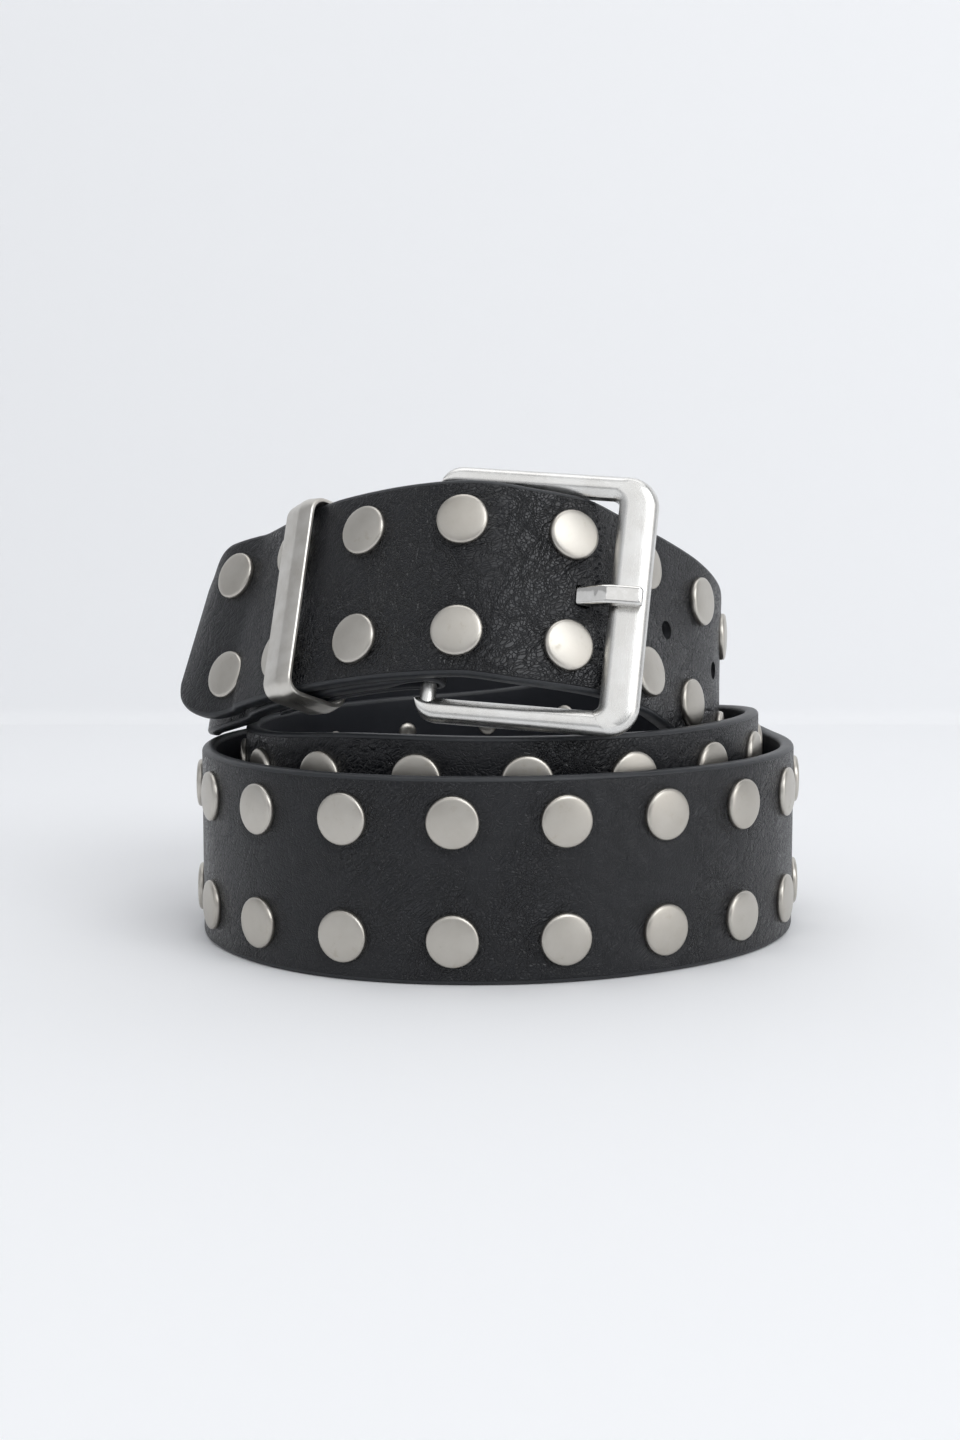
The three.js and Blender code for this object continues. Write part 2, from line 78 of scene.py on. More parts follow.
# Turn in degrees, radius as a share of coil_radius, height as a share of strap_width, lean in degrees
coil = np.array([
    (-200, 1.235, 1.400, 22),
    (-174, 1.052, 1.562, 22),
    (-160, 0.899, 1.670, 21),
    (-130, 0.845, 1.842, 20),
    (-100, 0.865, 1.928, 21),
    (-85, 0.855, 1.887, 20),
    (-72, 0.835, 1.832, 18),
    (-60, 0.780, 1.745, 15),
    (-48, 0.736, 1.660, 12),
    (-34, 0.720, 1.550, 7),
    (-10, 0.740, 1.345, 1),
    (20, 0.770, 1.080, 0),
    (50, 0.770, 0.835, 0),
    (85, 0.770, 0.680, 0),
    (130, 0.815, 0.620, 0),
    (170, 0.865, 0.600, 0),
    (210, 0.900, 0.610, 0),
    (240, 0.895, 0.655, 0),
    (270, 0.905, 0.660, 0),
    (300, 0.905, 0.665, 0),
    (330, 0.885, 0.675, 0),
    (360, 0.885, 0.665, 0),
    (405, 0.905, 0.590, 0),
    (450, 0.925, 0.515, 0),
    (495, 0.960, 0.500, 0),
    (540, 1.015, 0.500, 0),
    (570, 1.080, 0.500, 0),
    (600, 1.120, 0.500, 0),
    (630, 1.080, 0.500, 0),
    (660, 1.030, 0.500, 0),
    (690, 1.015, 0.500, 0),
    (720, 1.005, 0.500, 0),
    (735, 1.004, 0.508, 0),
    (750, 1.005, 0.560, 0),
    (780, 1.015, 0.745, 0),
    (810, 1.035, 1.010, 0),
    (840, 1.055, 1.290, 2),
    (870, 1.040, 1.480, 6),
    (900, 0.970, 1.510, 10),
    (930, 0.800, 1.680, 19),
    (980, 0.760, 1.880, 20),
])
coil_turns, coil_radii, coil_heights, coil_leans = coil.T


def unit(vectors):
    return vectors / np.linalg.norm(vectors, axis=-1, keepdims=True)


def smooth_step(start, end, value):
    share = np.clip((np.asarray(value, dtype=float) - start) / (end - start), 0, 1)
    return share * share * (3 - 2 * share)


def coil_value(values, turn):
    """A smooth curve through one column of the coil's table."""
    turn = np.asarray(turn, dtype=float)
    before = np.maximum(np.arange(len(values)) - 1, 0)
    after = np.minimum(np.arange(len(values)) + 1, len(values) - 1)
    slopes = (values[after] - values[before]) / (coil_turns[after] - coil_turns[before])
    row = np.clip(np.searchsorted(coil_turns, turn, side="right") - 1, 0, len(values) - 2)
    span = coil_turns[row + 1] - coil_turns[row]
    u = (turn - coil_turns[row]) / span
    v = 1 - u
    ends = v * v * (1 + 2 * u) * values[row] + u * u * (1 + 2 * v) * values[row + 1]
    return ends + span * u * v * (v * slopes[row] - u * slopes[row + 1])


def coil_point(turn):
    radius = coil_value(coil_radii, turn) * coil_radius
    angle = np.radians(turn)
    height = coil_value(coil_heights, turn) * strap_width
    return np.stack([radius * np.cos(angle), radius * np.sin(angle), height], axis=-1) + row_shift


class Lay:
    """Places on the strap's middle line, with the directions along it, across it and out of its grain."""

    def __init__(self, point, along, across):
        self.point = point
        self.along = along
        self.across = across
        self.out = np.cross(along, across)

    def moved(self, along=0.0, across=0.0, out=0.0):
        along, across, out = (np.asarray(v, dtype=float)[..., None] for v in (along, across, out))
        return self.point + along * self.along + across * self.across + out * self.out


def lay_on(course, turn):
    turn = np.asarray(turn, dtype=float)
    along = unit(course(turn + 0.5) - course(turn - 0.5))
    level = unit(np.cross(along, up))
    upright = np.cross(level, along)
    lean = np.radians(coil_value(coil_leans, turn))[..., None]
    return Lay(course(turn), along, upright * np.cos(lean) - np.cross(along, upright) * np.sin(lean))


def strap_point(turn):
    """Past its third turn the strap slides under the tip and takes its course from it."""
    above = lay_on(coil_point, np.maximum(turn - full_turns, coil_turns[0]))
    under = above.moved(out=-(strap_thickness + under_gap))
    share = smooth_step(slide_start, slide_full, turn)[..., None]
    return coil_point(turn) * (1 - share) + under * share


def strap_lay(turn):
    own = lay_on(strap_point, turn)
    above = lay_on(coil_point, np.maximum(turn - full_turns, coil_turns[0]))
    share = smooth_step(slide_start, slide_full, turn)[..., None]
    across = own.across * (1 - share) + above.across * share
    across = across - own.along * np.sum(across * own.along, axis=-1, keepdims=True)
    return Lay(own.point, own.along, unit(across))


wound_turns = np.arange(coil_turns[0], heel_turn + full_turns)
wound = strap_lay(wound_turns)
wound_steps = np.linalg.norm(np.diff(wound.point, axis=0), axis=-1)
wound_lengths = np.concatenate([[0.0], np.cumsum(wound_steps)])


def length_at(turn):
    return float(np.interp(turn, wound_turns, wound_lengths))


def lay_at(length):
    """The strap's lay at a length along it, or at many."""
    mixed = []
    for values in (wound.point, wound.along, wound.across):
        mixed.append(np.stack([np.interp(length, wound_lengths, values[:, k]) for k in range(3)], axis=-1))
    point, along, across = mixed
    along = unit(along)
    across = across - along * np.sum(across * along, axis=-1, keepdims=True)
    return Lay(point, along, unit(across))


# Where the buckle sits on the strap: its heel bar behind the tip, its end bar in front of the strap
frame_length = 0.049
frame_depth = 0.0042
side_bar = 0.0053
side_gap = 0.0022
end_bar = 0.0088
heel_inset = 0.0026
end_bar_drop = 0.0020
buckle_drop = 0.0009
hole_before_bar = 0.0052
hole_past_column = 0.005
prong_bearing = 0.0025
prong_drop = 0.0009
tip_columns = 4
frame_height = strap_width + 2 * (side_gap + side_bar)
fold_radius = heel_bar_radius + seat_gap + pared_thickness / 2
heel_depth = strap_thickness / 2 + fold_gap + pared_thickness / 2 + fold_radius
heel_lay = lay_on(coil_point, heel_turn)
heel_point = heel_lay.moved(out=-heel_depth)


def end_bar_middle(turn):
    lay = lay_on(coil_point, turn)
    slant = lay.out @ unit(lay.point - heel_point)
    twist = abs(lay.out @ heel_lay.across) * strap_width / 2
    reach = end_bar / 2 * slant + frame_depth / 2 * math.sqrt(1 - slant * slant) + twist
    return lay.moved(across=-end_bar_drop, out=strap_thickness / 2 + seat_gap + reach)


def turn_where(value_at, limit, low, high):
    rising = value_at(high) > value_at(low)
    for _ in range(40):
        middle = (low + high) / 2
        if (value_at(middle) < limit) == rising:
            low = middle
        else:
            high = middle
    return (low + high) / 2


end_turn = turn_where(
    lambda turn: np.linalg.norm(end_bar_middle(turn) - heel_point),
    frame_length - heel_inset - end_bar / 2, heel_turn + 25, heel_turn + 60)
buckle_x = unit(end_bar_middle(end_turn) - heel_point)
buckle_y = unit(heel_lay.across - buckle_x * (heel_lay.across @ buckle_x))
buckle_z = np.cross(buckle_x, buckle_y)
buckle_middle = heel_point + buckle_x * (frame_length / 2 - heel_inset) - buckle_y * buckle_drop
half_length = frame_length / 2
heel_x = heel_inset - half_length
end_bar_x = half_length - end_bar / 2
hole_x = end_bar_x - end_bar / 2 - hole_before_bar
bearing_x = hole_x - prong_bearing


def turn_at_x(x):
    return turn_where(lambda turn: (coil_point(turn) - buckle_middle) @ buckle_x, x, heel_turn, end_turn)


hole_length = length_at(turn_at_x(hole_x))
bearing = coil_point(turn_at_x(bearing_x)) - buckle_middle
prong_y = float(bearing @ buckle_y) - prong_drop
bearing_z = float(bearing @ buckle_z)
heel_length = length_at(heel_turn)
first_column = hole_length - hole_past_column - tip_columns * stud_pitch
tip_length = first_column - tip_margin
last_stud = length_at(last_stud_turn)


def in_buckle(points):
    """Points given in the buckle's own axes, brought into the row frame."""
    points = np.asarray(points, dtype=float)
    return buckle_middle + points @ np.stack([buckle_x, buckle_y, buckle_z])


grain_steps = 16
edge_steps = 4


def strap_outline(half_width, thickness):
    """The strap's cross-section as (across, out, face); face is 1 on the grain and -1 on the back."""
    half = thickness / 2
    bend = min(edge_round, half * 0.7)
    rows = []
    for k in range(grain_steps + 1):
        rows.append(((half_width - bend) * (2 * k / grain_steps - 1), half, 1.0))
    for k in range(1, edge_steps + 1):
        turn = math.pi / 2 * k / edge_steps
        rows.append((half_width - bend + bend * math.sin(turn), half - bend + bend * math.cos(turn), 0.0))
    for k in range(edge_steps):
        turn = math.pi / 2 * k / edge_steps
        rows.append((half_width - bend + bend * math.cos(turn), -half + bend - bend * math.sin(turn), 0.0))
    front = rows[:]
    rows += [(-across, -out, -face) for across, out, face in front]
    return np.array(rows)


def fold_lay(before_heel, depth):
    above = lay_at(heel_length - before_heel)
    share = float(smooth_step(0, pared_length, before_heel))
    across = unit(above.across * share + buckle_y * (1 - share))
    along = unit(above.along - across * (above.along @ across))
    return Lay(above.moved(out=-depth), along, across)


strap_sections = []  # lay, half width, thickness, length along the strap


def half_width_at(from_tip):
    left = max(tip_corner - from_tip, 0)
    return strap_width / 2 - tip_corner + math.sqrt(tip_corner ** 2 - left ** 2)


for share in np.linspace(0, 1, 26)[:-1]:
    from_tip = tip_corner * (1 - math.cos(share * math.pi / 2))
    thin = math.sqrt(1 - (1 - min(from_tip / edge_round, 1)) ** 2)
    thickness = strap_thickness * (0.3 + 0.7 * thin)
    strap_sections.append((lay_at(tip_length + from_tip), half_width_at(from_tip), thickness, from_tip))
strap_end = wound_lengths[-1]
for length in np.linspace(tip_length + tip_corner, strap_end - pared_length, 720):
    strap_sections.append((lay_at(length), strap_width / 2, strap_thickness, length - tip_length))
for before_heel in np.linspace(pared_length, 0, 12)[1:-1]:
    share = float(smooth_step(pared_length / 3, pared_length, before_heel))
    thickness = pared_thickness + (strap_thickness - pared_thickness) * share
    gap = fold_gap + (under_gap - fold_gap) * float(smooth_step(0, pared_length, before_heel))
    lay = fold_lay(before_heel, strap_thickness / 2 + gap + thickness / 2)
    strap_sections.append((lay, strap_width / 2, thickness, strap_end - tip_length - before_heel))
fold_start = fold_lay(0, heel_depth)
for turn in np.linspace(0, math.pi, 16):
    out = fold_start.out * math.cos(turn) + fold_start.along * math.sin(turn)
    along = fold_start.along * math.cos(turn) - fold_start.out * math.sin(turn)
    lay = Lay(fold_start.point + out * fold_radius, along, fold_start.across)
    strap_sections.append((
        lay, strap_width / 2, pared_thickness, strap_end - tip_length + fold_radius * turn))
far_depth = strap_thickness * 1.5 + under_gap + ply_gap + pared_thickness / 2
bend_length = 0.008
cut_end = 0.0005
for before_heel in np.linspace(0, fold_length, 30)[1:]:
    share = float(smooth_step(0, pared_length, before_heel))
    depth = (heel_depth + fold_radius) * (1 - share) + far_depth * share
    lay = fold_lay(before_heel, depth)
    lay = Lay(lay.point, -lay.along, lay.across)
    thickness = pared_thickness * (1 if before_heel < fold_length - cut_end else 0.5)
    strap_sections.append((
        lay, strap_width / 2, thickness, strap_end - tip_length + bend_length + before_heel))

strap_points = []
strap_marks = []
for lay, half_width, thickness, length in strap_sections:
    outline = strap_outline(half_width, thickness)
    strap_points.append(lay.moved(across=outline[:, 0], out=outline[:, 1]))
    marks = np.stack([np.full(len(outline), length), outline[:, 0], outline[:, 2]], axis=-1)
    strap_marks.append(marks)


def swept_faces(rings, around, closed_on_itself=False):
    """Quads between rings of equal point counts, with a flat cap at each end unless the rings close."""
    faces = []
    for ring in range(rings if closed_on_itself else rings - 1):
        here = ring * around
        there = (ring + 1) % rings * around
        for k in range(around):
            after = (k + 1) % around
            faces.append((here + k, here + after, there + after, there + k))
    if not closed_on_itself:
        faces.append(tuple(range(around - 1, -1, -1)))
        faces.append(tuple(range((rings - 1) * around, rings * around)))
    return faces


def made_piece(name, points, faces, smooth_below=40):
    """A mesh object at the origin, with its faces pointing outwards."""
    mesh = bpy.data.meshes.new(name)
    mesh.from_pydata([tuple(point) for point in points], [], faces)
    turned = bmesh.new()
    turned.from_mesh(mesh)
    bmesh.ops.recalc_face_normals(turned, faces=turned.faces)
    turned.to_mesh(mesh)
    turned.free()
    mesh.shade_smooth()
    mesh.set_sharp_from_angle(angle=math.radians(smooth_below))
    piece = bpy.data.objects.new(name, mesh)
    bpy.context.collection.objects.link(piece)
    return piece


def made_plain(piece):
    """Turns a piece with modifiers into a plain mesh of the same shape."""
    bpy.context.view_layer.update()
    graph = bpy.context.evaluated_depsgraph_get()
    mesh = bpy.data.meshes.new_from_object(
        piece.evaluated_get(graph), preserve_all_data_layers=True, depsgraph=graph)
    piece.modifiers.clear()
    piece.data = mesh


around_strap = len(strap_outline(strap_width / 2, strap_thickness))
leather_strap = made_piece(
    "leather_strap", np.concatenate(strap_points), swept_faces(len(strap_sections), around_strap))

# The prong's course from the heel bar, up through the tip and over the end bar; its hole follows it
prong_width = 0.0045
prong_thickness = 0.0027
prong_edge = 0.0008
prong_end_margin = 0.0024
rest_height = frame_depth / 2 + seat_gap + prong_thickness / 2
prong_stops = np.array([
    (heel_x, 0.0),
    (bearing_x - 4 * prong_thickness, -prong_thickness / 4),
    (bearing_x - 1.6 * prong_thickness, bearing_z - 0.8 * prong_thickness),
    (bearing_x, bearing_z),
    (bearing_x + 1.6 * prong_thickness, bearing_z * 0.4 + rest_height * 0.6),
    (end_bar_x - end_bar / 2, rest_height),
    (half_length - prong_end_margin, rest_height)])


def through_stops(stops, count):
    """A smooth curve through stops, sampled evenly."""
    padded = np.concatenate([stops[:1], stops, stops[-1:]])
    curve = []
    for share in np.linspace(0, len(stops) - 1, count):
        k = min(int(share), len(stops) - 2)
        u = share - k
        a, b, c, d = padded[k:k + 4]
        bend = (2 * a - 5 * b + 4 * c - d) * u ** 2 + (3 * b - a - 3 * c + d) * u ** 3
        curve.append(0.5 * (2 * b + (c - a) * u + bend))
    return np.array(curve)


prong_course = through_stops(prong_stops, 60)
prong_along = unit(np.gradient(prong_course, axis=0))


def prong_ring(middle, along, half_wide, half_thick):
    """The prong's cross-section in the buckle's axes: a rectangle with rounded corners."""
    upward = np.array([-along[1], along[0]])
    ring = []
    for corner, (side, face_sign) in enumerate(((1, 1), (-1, 1), (-1, -1), (1, -1))):
        for k in range(4):
            turn = (corner + k / 3) * math.pi / 2
            across = side * (half_wide - prong_edge) + prong_edge * math.cos(turn)
            lift = face_sign * (half_thick - prong_edge) + prong_edge * math.sin(turn)
            flat_place = middle + upward * lift
            ring.append((flat_place[0], prong_y + across, flat_place[1]))
    return ring


# The cutters for the adjusting holes, for the prong's way through the tip and the slot in the fold
hole_radius = 0.0022
hole_pitch = 0.028
hole_count = 4
cut_depth = 0.009
prong_room = 0.0003
slot_play = 0.0012
cutter_gap = 0.0003
cutter = bmesh.new()


def cut_cylinder(radius, depth, place):
    """Adds a cylinder about +Z to the cutters and moves each of its points to its place."""
    made = bmesh.ops.create_cone(
        cutter, cap_ends=True, segments=32, radius1=radius, radius2=radius, depth=depth)
    for vertex in made["verts"]:
        vertex.co = Vector(place(*vertex.co))


for hole in range(1, hole_count + 1):
    lay = lay_at(hole_length + hole * hole_pitch)
    cut_cylinder(hole_radius, cut_depth, lambda x, y, z: lay.moved(along=y, across=x, out=z))
slot_radius = fold_radius + pared_thickness
cut_cylinder(
    slot_radius, prong_width + slot_play,
    lambda x, y, z: in_buckle((heel_x + x, prong_y + z, y)))
wide_rings = [
    prong_ring(middle, along, prong_width / 2 + prong_room, prong_thickness / 2 + prong_room)
    for middle, along in zip(prong_course, prong_along)
    if middle[0] > heel_x + slot_radius + cutter_gap]
wide_points = [cutter.verts.new(Vector(point)) for ring in wide_rings for point in in_buckle(ring)]
for face in swept_faces(len(wide_rings), len(wide_rings[0])):
    cutter.faces.new([wide_points[k] for k in face])
bmesh.ops.recalc_face_normals(cutter, faces=cutter.faces)
cutter_mesh = bpy.data.meshes.new("hole_cutters")
cutter.to_mesh(cutter_mesh)
cutter.free()
hole_cutters = bpy.data.objects.new("hole_cutters", cutter_mesh)
bpy.context.collection.objects.link(hole_cutters)
cut = leather_strap.modifiers.new("holes", "BOOLEAN")
cut.operation = "DIFFERENCE"
cut.solver = "EXACT"
cut.object = hole_cutters
made_plain(leather_strap)
bpy.data.objects.remove(hole_cutters)

# Every vertex is marked with its length along the strap, its place across it and its side
marked_points = np.concatenate(strap_points)
marks = np.concatenate(strap_marks)
nearest = kdtree.KDTree(len(marked_points))
for index, point in enumerate(marked_points):
    nearest.insert(point, index)
nearest.balance()
found = [nearest.find(vertex.co)[1] for vertex in leather_strap.data.vertices]
lay_mark = leather_strap.data.attributes.new("lay", "FLOAT_VECTOR", "POINT")
lay_mark.data.foreach_set("vector", marks[found].ravel())


class Wire:
    """A shader socket that takes plain arithmetic; each operation adds a Math node."""

    def __init__(self, shader, socket):
        self.shader = shader
        self.socket = socket

    def math(self, operation, *values, clamp=False):
        node = self.shader.tree.nodes.new("ShaderNodeMath")
        node.operation = operation
        node.use_clamp = clamp
        for slot, value in zip(node.inputs, values):
            self.shader.join(value, slot)
        return Wire(self.shader, node.outputs[0])

    def __add__(self, other): return self.math("ADD", self, other)
    def __radd__(self, other): return self.math("ADD", other, self)
    def __sub__(self, other): return self.math("SUBTRACT", self, other)
    def __rsub__(self, other): return self.math("SUBTRACT", other, self)
    def __mul__(self, other): return self.math("MULTIPLY", self, other)
    def __rmul__(self, other): return self.math("MULTIPLY", other, self)
    def __truediv__(self, other): return self.math("DIVIDE", self, other)
    def __pow__(self, other): return self.math("POWER", self, other)
    def __abs__(self): return self.math("ABSOLUTE", self)
    def root(self): return self.math("SQRT", self)
    def within(self): return self.math("ADD", self, 0.0, clamp=True)

    def step(self, low, high):
        """0 below low, 1 above high, and a soft step between; low may be the larger."""
        share = ((self - low) / (high - low)).within()
        return share * share * (3 - 2 * share)

    def repeat(self, span):
        """The distance to the nearest whole number of spans."""
        return self.math("WRAP", self, span / 2, -span / 2)


class Finish:
    """A material under construction: its nodes, and the shader that they feed."""

    def __init__(self, name, **constants):
        self.material = bpy.data.materials.new(name)
        self.material.use_nodes = True
        self.tree = self.material.node_tree
        self.shader = self.tree.nodes["Principled BSDF"]
        self.give(**constants)

    def join(self, value, slot):
        if isinstance(value, Wire):
            self.tree.links.new(value.socket, slot)
        elif isinstance(value, (tuple, list)) and len(value) == 3 and slot.type == "RGBA":
            slot.default_value = (*value, 1.0)
        else:
            slot.default_value = value

    def node(self, kind, settings=None, output=0, **values):
        """One node; its settings come first, then its sockets by name, with _ for a space."""
        made = self.tree.nodes.new("ShaderNode" + kind)
        for name, value in (settings or {}).items():
            setattr(made, name, value)
        for name, value in values.items():
            self.join(value, made.inputs[name.replace("_", " ")])
        return Wire(self, made.outputs[output])

    def give(self, **values):
        for name, value in values.items():
            self.join(value, self.shader.inputs[name.replace("_", " ")])

    def place(self, x, y, z=0.0):
        return self.node("CombineXYZ", X=x, Y=y, Z=z)

    def parts(self, vector):
        made = self.tree.nodes.new("ShaderNodeSeparateXYZ")
        self.join(vector, made.inputs[0])
        return [Wire(self, output) for output in made.outputs]

    def noise(self, where, scale, detail=2.0, roughness=0.5):
        return self.node("TexNoise", Vector=where, Scale=scale, Detail=detail, Roughness=roughness)

    def cells(self, where, scale, feature="F1", randomness=1.0):
        return self.node("TexVoronoi", {"feature": feature}, Vector=where, Scale=scale, Randomness=randomness)

    def blend(self, share, first, second):
        made = self.tree.nodes.new("ShaderNodeMix")
        made.data_type = "RGBA"
        for value, slot in ((share, 0), (first, 6), (second, 7)):
            self.join(value, made.inputs[slot])
        return Wire(self, made.outputs[2])

    def bump(self, height, distance):
        """Raised by height times distance, in metres."""
        self.give(Normal=self.node("Bump", Height=height, Distance=distance, Strength=1.0))


# The leather: charcoal black with a fine pebble, fine cross creases and slack wrinkles, pressed in
# round every stud, with painted shade darkening the crease grooves where the leather is slack and
# a thin painted shade ring at each stud's edge; the edges are painted, and the back is smooth navy-black
# split.
leather = Finish("black_leather", Roughness=0.45, Specular_IOR_Level=0.45)
length_along, place_across, face = leather.parts(
    leather.node("Attribute", {"attribute_name": "lay"}, output=1))
flat = leather.place(length_along, place_across, face * 0.02)
grain_side = face.step(0.55, 0.95)
back_side = face.step(-0.55, -0.95)
edge_side = 1 - (grain_side + back_side).within()
wandering = leather.noise(flat, 60, 3, 0.6) - 0.5
by_the_buckle = length_along.step(0.045, 0.080) * length_along.step(0.160, 0.130)
slack = leather.noise(leather.place(length_along, place_across * 0.6, 0.3), 34, 2, 0.5).step(0.42, 0.66)
slack = (slack * 0.60 + by_the_buckle * 0.65).within()
shifted = leather.place(length_along + wandering * 0.012, place_across + wandering * 0.010, 0.0)
pebble = leather.cells(shifted, 1250, "DISTANCE_TO_EDGE", 0.9).step(0.0, 0.14)
fine = leather.noise(flat, 2600, 2, 0.6)
slanted = leather.place(
    (length_along * 0.92 - place_across * 0.38) + wandering * 0.02,
    (place_across * 0.92 + length_along * 0.38) * 0.36 + wandering * 0.01)
creases = leather.cells(slanted, 330, "DISTANCE_TO_EDGE", 1.0).step(0.0, 0.10)
long_creases = leather.cells(slanted, 120, "DISTANCE_TO_EDGE", 1.0).step(0.0, 0.035)
near_stud = (
    (length_along - (first_column - tip_length)).repeat(stud_pitch) ** 2
    + (abs(place_across) - stud_rows / 2) ** 2).root()
studded = length_along.step(last_stud - tip_length + 0.012, last_stud - tip_length + 0.010) * grain_side
pressed = near_stud.step(0.0085, 0.0058) * studded
# A thin ring at each stud's edge, darkened in the colour below: painted shade where the cap meets the
# leather.
painted_stud_edge_shade = near_stud.step(0.0066, 0.0057) * studded
height = (
    pebble * (0.30 + 0.55 * slack) + fine * (0.10 + 0.10 * slack) + creases * (0.12 + 0.75 * slack)
    + long_creases * (0.2 + 0.6 * slack) + leather.noise(flat, 150, 2, 0.5) * 0.9 - pressed * 1.1)
smooth_height = fine * 0.10 + leather.noise(flat, 400, 2, 0.5) * 0.25
leather.bump(height * grain_side + smooth_height * (1 - grain_side), 0.00024)
worn = leather.noise(flat, 90, 3, 0.6)
grain_color = leather.blend(worn.step(0.3, 0.75), (0.0036, 0.0041, 0.0060), (0.0064, 0.0071, 0.0095))
# Painted shade: the grain colour is darkened in the crease grooves where the leather is slack, and in a thin
# ring at each stud's edge.
grain_color = leather.blend(
    (1 - creases) * slack * 0.6 + painted_stud_edge_shade * 0.8, grain_color, (0.0030, 0.0032, 0.0040))
edge_color = leather.blend(worn.step(0.35, 0.7), (0.016, 0.018, 0.021), (0.026, 0.028, 0.032))
back_color = leather.blend(worn.step(0.3, 0.7), (0.0085, 0.010, 0.0145), (0.0125, 0.0145, 0.020))
body_color = leather.blend(back_side, leather.blend(edge_side, grain_color, edge_color), back_color)
leather.give(Base_Color=body_color)
leather.give(Roughness=(
    (0.34 - 0.12 * slack + 0.20 * (1 - pebble)) * grain_side + 0.42 * edge_side + 0.55 * back_side
    + (worn - 0.5) * 0.16))
leather_strap.data.materials.clear()
leather_strap.data.materials.append(leather.material)
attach(leather_strap, "root")
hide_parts("studded_strap")

# The stud caps: thin domed discs pressed from nickel-plated steel, two to a column, each riveted
# through the strap.
stud_profile = [  # radius and height above the leather, in millimetres
    (5.45, -0.45), (5.78, -0.1), (5.8, 0.3), (5.76, 0.72), (5.62, 1.0), (5.38, 1.19), (5.0, 1.31),
    (4.3, 1.42), (3.0, 1.55), (1.6, 1.64), (0.5, 1.67)]


def turned_cap(name, profile, sides):
    """A closed round cap about +Z, with its own place stored on it; the caller removes it after use."""
    rings = [[(radius * math.cos(2 * math.pi * k / sides), radius * math.sin(2 * math.pi * k / sides), height)
              for k in range(sides)] for radius, height in profile]
    points = [np.array(point) * 0.001 for ring in rings for point in ring]
    cap = made_piece(name, points, swept_faces(len(profile), sides), 50)
    own_place = cap.data.attributes.new("own_place", "FLOAT_VECTOR", "POINT")
    own_place.data.foreach_set("vector", np.array(points).ravel())
    return cap


def placed_copies(name, lays, cap, turn_over, seed, finish):
    """One cap on each lay, made by Geometry Nodes and turned into a plain mesh."""
    mesh = bpy.data.meshes.new(name)
    mesh.from_pydata([tuple(lay[0]) for lay in lays], [], [])
    for key, column in (("outward", 1), ("forward", 2)):
        mark = mesh.attributes.new(key, "FLOAT_VECTOR", "POINT")
        mark.data.foreach_set("vector", np.array([lay[column] for lay in lays]).ravel())
    piece = bpy.data.objects.new(name, mesh)
    bpy.context.collection.objects.link(piece)
    tree = bpy.data.node_groups.new(name, "GeometryNodeTree")
    inputs = {}
    for label, kind in (("Places", "NodeSocketGeometry"), ("Cap", "NodeSocketObject"),
                        ("Spin", "NodeSocketFloat"), ("Seed", "NodeSocketInt"),
                        ("Finish", "NodeSocketMaterial")):
        inputs[label] = tree.interface.new_socket(label, in_out="INPUT", socket_type=kind)
    tree.interface.new_socket("Result", in_out="OUTPUT", socket_type="NodeSocketGeometry")
    given = tree.nodes.new("NodeGroupInput")
    result = tree.nodes.new("NodeGroupOutput")

    def add(kind, settings=None, **links):
        node = tree.nodes.new(kind)
        for key, value in (settings or {}).items():
            setattr(node, key, value)
        for key, value in links.items():
            slot = node.inputs[key.replace("_", " ")]
            if isinstance(value, bpy.types.NodeSocket):
                tree.links.new(value, slot)
            else:
                slot.default_value = value
        return node

    outward = add("GeometryNodeInputNamedAttribute", {"data_type": "FLOAT_VECTOR"}, Name="outward")
    forward = add("GeometryNodeInputNamedAttribute", {"data_type": "FLOAT_VECTOR"}, Name="forward")
    upright = add("FunctionNodeAlignRotationToVector", {"axis": "Z"}, Vector=outward.outputs["Attribute"])
    facing = add("FunctionNodeAlignRotationToVector", {"axis": "X", "pivot_axis": "Z"},
                 Rotation=upright.outputs[0], Vector=forward.outputs["Attribute"])
    spin = add("FunctionNodeRandomValue", {"data_type": "FLOAT"}, Seed=given.outputs["Seed"])
    tree.links.new(given.outputs["Spin"], spin.inputs[3])
    about = add("FunctionNodeAxisAngleToRotation", Axis=(0.0, 0.0, 1.0), Angle=spin.outputs[1])
    spun = add("FunctionNodeRotateRotation", {"rotation_space": "LOCAL"},
               Rotation=facing.outputs[0], Rotate_By=about.outputs[0])
    shape = add("GeometryNodeObjectInfo", {"transform_space": "ORIGINAL"}, Object=given.outputs["Cap"])
    copies = add("GeometryNodeInstanceOnPoints", Points=given.outputs["Places"],
                 Instance=shape.outputs["Geometry"], Rotation=spun.outputs[0])
    tone = add("FunctionNodeRandomValue", {"data_type": "FLOAT"}, Seed=given.outputs["Seed"])
    tone.inputs["Seed"].default_value = 0
    marked = add("GeometryNodeStoreNamedAttribute", {"data_type": "FLOAT", "domain": "INSTANCE"},
                 Geometry=copies.outputs[0], Name="tone", Value=tone.outputs[1])
    whole = add("GeometryNodeRealizeInstances", Geometry=marked.outputs[0])
    coated = add("GeometryNodeSetMaterial", Geometry=whole.outputs[0], Material=given.outputs["Finish"])
    tree.links.new(coated.outputs[0], result.inputs[0])
    modifier = piece.modifiers.new(name, "NODES")
    modifier.node_group = tree
    modifier[inputs["Cap"].identifier] = cap
    modifier[inputs["Spin"].identifier] = turn_over
    modifier[inputs["Seed"].identifier] = seed
    modifier[inputs["Finish"].identifier] = finish
    made_plain(piece)
    return piece


stud_lays = []
rivet_lays = []
for length in np.arange(first_column, last_stud, stud_pitch):
    lay = lay_at(length)
    for side in (-1, 1):
        outside = lay.moved(across=side * stud_rows / 2, out=strap_thickness / 2)
        inside = lay.moved(across=side * stud_rows / 2, out=-strap_thickness / 2)
        stud_lays.append((outside, lay.out, lay.along))
        rivet_lays.append((inside, -lay.out, lay.along))

